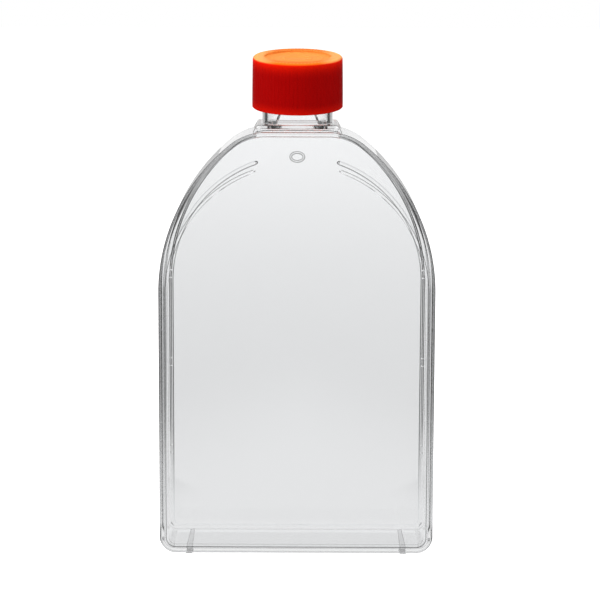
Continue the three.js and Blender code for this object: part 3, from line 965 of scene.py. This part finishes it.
class FLASK_OT_growth_plate(bpy.types.Operator):
    """Make the growth plate: rim, recessed panel, bead with end dots, and locating ridge"""

    bl_idname = "flask.growth_plate"
    bl_label = "Growth plate"

    def execute(self, context):
        scene = context.scene
        body, bead = scene.flask_body, scene.flask_bead
        material = bpy.data.materials["clear_polystyrene"]
        weld, panel = body.back_y - body.plate, body.back_y - body.plate_recess
        made = self.plate(body, weld, panel)
        combined(made, "UNION", self.ridge(body, weld))
        path = bead_path(bead, body, bead.back_bottom_z)
        ridge = ridge_along_path(
            "back_bead", path, False, bead.width, bead.height, bead.back_slope, panel, material
        )
        dots = [end_dot(bead, body, bead.back_dot, panel, side) for side in (1, -1)]
        combined(made, "UNION", ridge, *dots)
        pits = [end_pit(bead, body, bead.back_dot, panel, side) for side in (1, -1)]
        combined(made, "DIFFERENCE", *pits)
        moulded(made, "growth_plate", "flask", material)
        return {"FINISHED"}

    def plate(self, body, weld, panel):
        """The flat plate with its rounded outer edge, its rim and its recessed panel."""
        rings = [body_ring(body, (0.0, 0.0, body.outer_corner), 0.0, weld)]
        rings += rounded_edge(body, body.back_round, body.back_y, 6)
        recess = body.rim_width, body.rim_end, body.rim_corner
        rings.append(body_ring(body, recess, 0.0, body.back_y))
        rings.append(body_ring(body, recess, body.rim_slope, panel))
        return ring_stack("growth_plate_moulding", rings)

    def ridge(self, body, weld):
        """The locating ridge inside the cavity, open under the neck and at its slits."""
        base = body.ridge_width
        slope = (base - body.ridge_crest) / 2
        in_plate = 0.0002
        top, sunk = weld - body.ridge_height, weld + in_plate
        outer = (base, sunk), (base, weld), (base - slope, top)
        section = *outer, (slope, top), (0, weld), (0, sunk)
        recess = body.rim_width, body.rim_end, body.rim_corner
        rings = [body_ring(body, recess, inset + body.ridge_gap, y) for inset, y in section]
        made = ring_stack("locating_ridge", rings, looped=True)
        half, slit = body.ridge_break / 2, body.ridge_slit / 2
        cuts = []
        for i in range(body.ridge_breaks):
            z = body.arch_start_z + body.ridge_break - body.ridge_pitch * i
            for end in (z - half, z + half):
                cuts.append(box("ridge_slit", (-1, -1, end - slit), (1, 1, end + slit)))
        low = body.shoulder_z - body.pour_drop
        cuts.append(box("pour_way", (-body.pour_left, -1, low), (body.pour_right, 1, 1)))
        return combined(made, "DIFFERENCE", *cuts)


class FLASK_OT_cap_liner(bpy.types.Operator):
    """Make the sealing disc inside the cap"""

    bl_idname = "flask.cap_liner"
    bl_label = "Cap liner"

    def execute(self, context):
        scene = context.scene
        body, neck, cap = scene.flask_body, scene.flask_neck, scene.flask_cap
        low, half = neck.height + cap.liner_gap, cap.liner / 2
        edge = arc(cap.liner_radius - half, low + half, half, -math.pi / 2, math.pi / 2, 8)
        made = lathe("sealing_disc", [(0, low), *edge, (0, low + cap.liner)], 96)
        on_neck(made, neck, body.shoulder_z)
        moulded(made, "cap_liner", "liner", liner_foam(scene.flask_looks))
        return {"FINISHED"}


class FLASK_OT_screw_cap(bpy.types.Operator):
    """Make the screw cap: skirt with grip ribs, sunk top and inside thread"""

    bl_idname = "flask.screw_cap"
    bl_label = "Screw cap"

    def execute(self, context):
        scene = context.scene
        body, neck, cap = scene.flask_body, scene.flask_neck, scene.flask_cap
        material = cap_plastic(scene.flask_looks, cap, neck, body)
        made = self.turned(cap)
        root, start = cap.inner_radius + SUNK, neck.thread_start - cap.bottom - neck.pitch / 2
        self.absorb(
            made,
            screw_thread("cap_thread", root, cap.thread_crest, start, neck, material),
            self.ribs(cap, material),
        )
        made.data.transform(Matrix.Translation((0, 0, cap.bottom)))
        on_neck(made, neck, body.shoulder_z)
        moulded(made, "screw_cap", "cap", material)
        return {"FINISHED"}

    def absorb(self, made, *extras):
        """Adds other closed bodies' meshes to this one."""
        for extra in extras:
            joined = bmesh.new()
            joined.from_mesh(made.data)
            joined.from_mesh(extra.data)
            joined.to_mesh(made.data)
            joined.free()
            bpy.data.objects.remove(extra)

    def turned(self, cap):
        """The cap without its ribs and thread, from the ceiling's middle out and over the top."""
        base, top = cap.bottom_radius - cap.rib_depth, cap.top_radius - cap.rib_depth
        inner, ceiling = cap.inner_radius, cap.ceiling
        edge, slope, soft = cap.edge_round, cap.ceiling_edge, cap.soft_edge
        floor = cap.height - cap.recess_depth
        quarter = math.pi / 2
        profile = [
            (0, ceiling),
            (inner - slope, ceiling),
            (inner, ceiling - slope),
            (inner, soft),
            (inner + soft, 0),
            (base - soft, 0),
            (base, soft),
            *arc(top - edge, cap.height - edge, edge, 0, quarter, 10),
            *arc(cap.recess_radius + soft, cap.height - soft, soft, quarter, math.pi, 5),
            *arc(cap.recess_radius - soft, floor + soft, soft, 0, -quarter, 5),
            *self.ripple(cap, cap.ripple_outer, floor),
            *self.ripple(cap, cap.ripple_inner, floor),
            (0, floor),
        ]
        return lathe("cap_moulding", profile, 216)

    def ripple(self, cap, middle, floor):
        """One low ring on the sunk disc, from the outside in."""
        points = []
        for i in range(7):
            across = cap.ripple_width * (0.5 - i / 6)
            rise = cap.ripple_height * math.cos(math.pi * across / cap.ripple_width)
            points.append((middle + across, floor + rise))
        return points

    def ribs(self, cap, material):
        """The upright grip ribs, each half sunk in the skirt."""
        sizes = {
            "Ribs": cap.ribs,
            "Bottom radius": cap.bottom_radius - cap.rib_depth,
            "Top radius": cap.top_radius - cap.rib_depth,
            "Rib start": cap.rib_start,
            "Rib height": cap.height - cap.rib_start - cap.rib_end,
            "Rib depth": cap.rib_depth,
        }
        sheet, given = geometry_sheet("grip_ribs", sizes)
        ribs, low, high, start, tall, deep = (sheet.value(given, title) for title in sizes)
        ring = sheet.add(
            "GeometryNodeMeshCircle", values={"Vertices": ribs, "Radius": (low + high) * 0.5}
        )
        turn = sheet.value(sheet.add("GeometryNodeInputIndex")) / ribs * (2 * math.pi)
        slope = ((low - high) / tall).of("ARCTANGENT")
        facing = sheet.add("ShaderNodeCombineXYZ", values={1: 0.0 - slope, 2: turn})
        ball = {"Segments": 8, "Rings": 12, "Radius": 1.0}
        bar = sheet.add("GeometryNodeMeshUVSphere", values=ball)
        size = sheet.add("ShaderNodeCombineXYZ", values={0: deep, 1: deep * 1.5, 2: tall * 0.5})
        shaped = sheet.add("GeometryNodeTransform", values={0: bar, "Scale": size})
        placed = sheet.add(
            "GeometryNodeInstanceOnPoints", values={0: ring, "Instance": shaped, "Rotation": facing}
        )
        lift = sheet.add("ShaderNodeCombineXYZ", values={2: tall * 0.5 + start})
        raised = sheet.add("GeometryNodeTransform", values={0: placed, "Translation": lift})
        closed_off(sheet, raised, material)
        return grown(in_scene("ribs"), sheet, sizes)


class FLASK_OT_studio(bpy.types.Operator):
    """Set up the floor, the lamps, the surroundings and the camera"""

    bl_idname = "flask.studio"
    bl_label = "Studio"

    def execute(self, context):
        scene = context.scene
        studio = scene.flask_studio
        self.floor(scene.flask_body, studio)
        self.lamps(studio)
        self.surroundings(scene, studio)
        self.camera(scene, studio)
        scene.view_settings.view_transform = "Standard"
        bounces = 24
        scene.cycles.max_bounces = bounces
        scene.cycles.transmission_bounces = bounces
        scene.cycles.transparent_max_bounces = bounces
        scene.cycles.glossy_bounces = 16
        scene.cycles.caustics_refractive = False
        scene.cycles.caustics_reflective = False
        return {"FINISHED"}

    def floor(self, body, studio):
        """A matt white floor, which the flask shows with the room's dark gaps in it."""
        clearance = 0.00001
        z = -body.foot_height - clearance
        reach = studio.floor
        corners = [(-reach, -reach, z), (reach, -reach, z), (reach, reach, z), (-reach, reach, z)]
        mesh = bpy.data.meshes.new("floor")
        mesh.from_pydata(corners, [], [[0, 1, 2, 3]])
        made = in_scene("floor", mesh)
        material, sheet = new_material("floor_white")
        path = sheet.add("ShaderNodeLightPath")
        x, y = sheet.place()[:2]
        away = (x * x + y * y) ** 0.5
        camera = sheet.value(path, "Is Camera Ray")
        # The level rises a little to 2.2 m from the flask, and falls off again beyond it.
        crest = 2.2
        straight = 0.885 + away.eased(-0.1, crest) * 0.25 - away.eased(crest, 9.0) * 0.205
        mirrored = sheet.value(path, "Glossy Depth").smaller(1.0)
        # near is the floor right round the flask, narrower sideways than to the front and back.
        near = 1.0 - (away + x.size() * 1.5).eased(0.15, 0.5)
        across = x.size() / away.bigger(0.01)
        ahead = (1.0 - across.eased(*BACK_WALL)) * (y > 0.0)
        gap = self.gap(across, across, y)
        spread = near.bigger(ahead).bigger((1.0 - mirrored) * (1.0 - gap * studio.gap))
        level = studio.floor_dark + (1.0 - studio.floor_dark) * spread
        # What a surface mirrors is half as bright, apart from the floor close behind the flask.
        dimmed = 1.0 - mirrored * 0.5 * (1.0 - near * (y > 0.0))
        bright = level * straight * dimmed
        white, matt_white = (1.0, 1.0, 1.0), (0.8, 0.8, 0.8)
        matt = sheet.add("ShaderNodeBsdfDiffuse", values={"Color": matt_white})
        lift = sheet.add("ShaderNodeEmission", values={"Color": white, "Strength": camera * 0.8})
        glow = sheet.add("ShaderNodeEmission", values={"Color": white, "Strength": bright})
        lit = sheet.add("ShaderNodeAddShader", values={0: matt, 1: lift})
        glossy = sheet.value(path, "Is Glossy Ray")
        through = sheet.value(path, "Is Transmission Ray").bigger(glossy)
        sheet.surface(sheet.add("ShaderNodeMixShader", values={0: through, 1: lit, 2: glow}))
        mesh.materials.append(material)

    def gap(self, off, across, y):
        """1 in the dark between the room's back wall and its side walls, 0 elsewhere."""
        return off.eased(*BACK_WALL) * (1.0 - across.eased(*SIDE_WALL)) * (y > 0.0)

    def lamps(self, studio):
        """Three soft square lamps that light the flask but don't show in it."""
        aim = Vector((0, 0, 0.12))
        for name, place, size, power in (
            ("overhead", (0.0, -0.25, 1.1), 0.9, studio.overhead),
            ("left", (-1.15, -0.5, 0.5), 0.5, studio.left),
            ("right", (1.15, -0.5, 0.5), 0.5, studio.right),
        ):
            data = bpy.data.lights.new(name, "AREA")
            data.size = size
            data.energy = power
            made = in_scene(name, data)
            made.location = place
            made.rotation_euler = (aim - Vector(place)).to_track_quat("-Z", "Y").to_euler()
            made.visible_transmission = False
            made.visible_glossy = False

    def surroundings(self, scene, studio):
        """Plain white, but a room with dark gaps for what the flask refracts and reflects."""
        world = bpy.data.worlds.new("studio_room")
        world.use_nodes = True
        scene.world = world
        sheet = Sheet(world.node_tree)
        path = sheet.add("ShaderNodeLightPath")
        where = sheet.add("ShaderNodeTexCoord")
        parts = sheet.add("ShaderNodeSeparateXYZ", values={0: where.outputs["Generated"]})
        x, y, z = (sheet.value(parts, i) for i in range(3))
        camera = sheet.value(path, "Is Camera Ray")
        diffuse = sheet.value(path, "Is Diffuse Ray")
        # The walls darken a little above the floor, and the back wall is lower than it is wide.
        level = 1.0 - z.eased(0.0, 0.15) * 0.22
        up = z.bigger(0.0)
        off = (x * x + up * up * 2.0) ** 0.5
        behind = (1.0 - off.eased(*BACK_WALL)) * y.eased(-0.7, -0.4) * level
        clear = 1.0 - self.gap(off, x.size(), y) * studio.gap
        straight = (1.0 - sheet.value(path, "Glossy Depth").smaller(1.0)) * clear * level
        white = behind.bigger(z.eased(*CEILING)).bigger(straight)
        room = studio.dark + white * studio.white
        lit = diffuse * studio.fill + (1.0 - diffuse) * room
        strength = camera + (1.0 - camera) * lit
        glow = sheet.add("ShaderNodeBackground", values={"Color": (1, 1, 1), "Strength": strength})
        sheet.add("ShaderNodeOutputWorld", values={"Surface": glow})

    def camera(self, scene, studio):
        data = bpy.data.cameras.new("camera")
        data.lens = studio.lens
        data.sensor_width = 36.0
        data.clip_end = 50.0
        made = in_scene("camera", data)
        tilt = studio.elevation
        made.location = (
            studio.side_step,
            -studio.distance * math.cos(tilt),
            studio.aim_z + studio.distance * math.sin(tilt),
        )
        turned = Matrix.Rotation(math.pi / 2 - tilt, 4, "X") @ Matrix.Rotation(studio.roll, 4, "Z")
        made.rotation_euler = turned.to_euler()
        scene.camera = made


class FLASK_PT_panel(bpy.types.Panel):
    """The flask's operators and sizes in the 3D view's sidebar"""

    bl_idname = "FLASK_PT_panel"
    bl_label = "Culture flask"
    bl_space_type = "VIEW_3D"
    bl_region_type = "UI"
    bl_category = "Flask"

    def draw(self, context):
        column = self.layout.column()
        for operator in OPERATORS:
            column.operator(operator.bl_idname)
        for name, group in GROUPS:
            part = self.layout.box()
            part.label(text=group.__doc__)
            for prop in group.__annotations__:
                part.prop(getattr(context.scene, name), prop)


OPERATORS = (
    FLASK_OT_upper_body,
    FLASK_OT_growth_plate,
    FLASK_OT_cap_liner,
    FLASK_OT_screw_cap,
    FLASK_OT_studio,
)
GROUPS = (
    ("flask_body", FlaskBodySizes),
    ("flask_bead", FlaskBeadSizes),
    ("flask_neck", FlaskNeckSizes),
    ("flask_cap", FlaskCapSizes),
    ("flask_looks", FlaskLooks),
    ("flask_studio", FlaskStudio),
)


def register():
    for name, group in GROUPS:
        bpy.utils.register_class(group)
        setattr(bpy.types.Scene, name, bpy.props.PointerProperty(type=group))
    for operator in OPERATORS:
        bpy.utils.register_class(operator)
    bpy.utils.register_class(FLASK_PT_panel)


def unregister():
    bpy.utils.unregister_class(FLASK_PT_panel)
    for operator in reversed(OPERATORS):
        bpy.utils.unregister_class(operator)
    for name, group in reversed(GROUPS):
        delattr(bpy.types.Scene, name)
        bpy.utils.unregister_class(group)


def main():
    register()
    bpy.ops.flask.upper_body()
    bpy.ops.flask.growth_plate()
    bpy.ops.flask.cap_liner()
    bpy.ops.flask.screw_cap()
    bpy.ops.flask.studio()


if __name__ == "__main__":
    main()
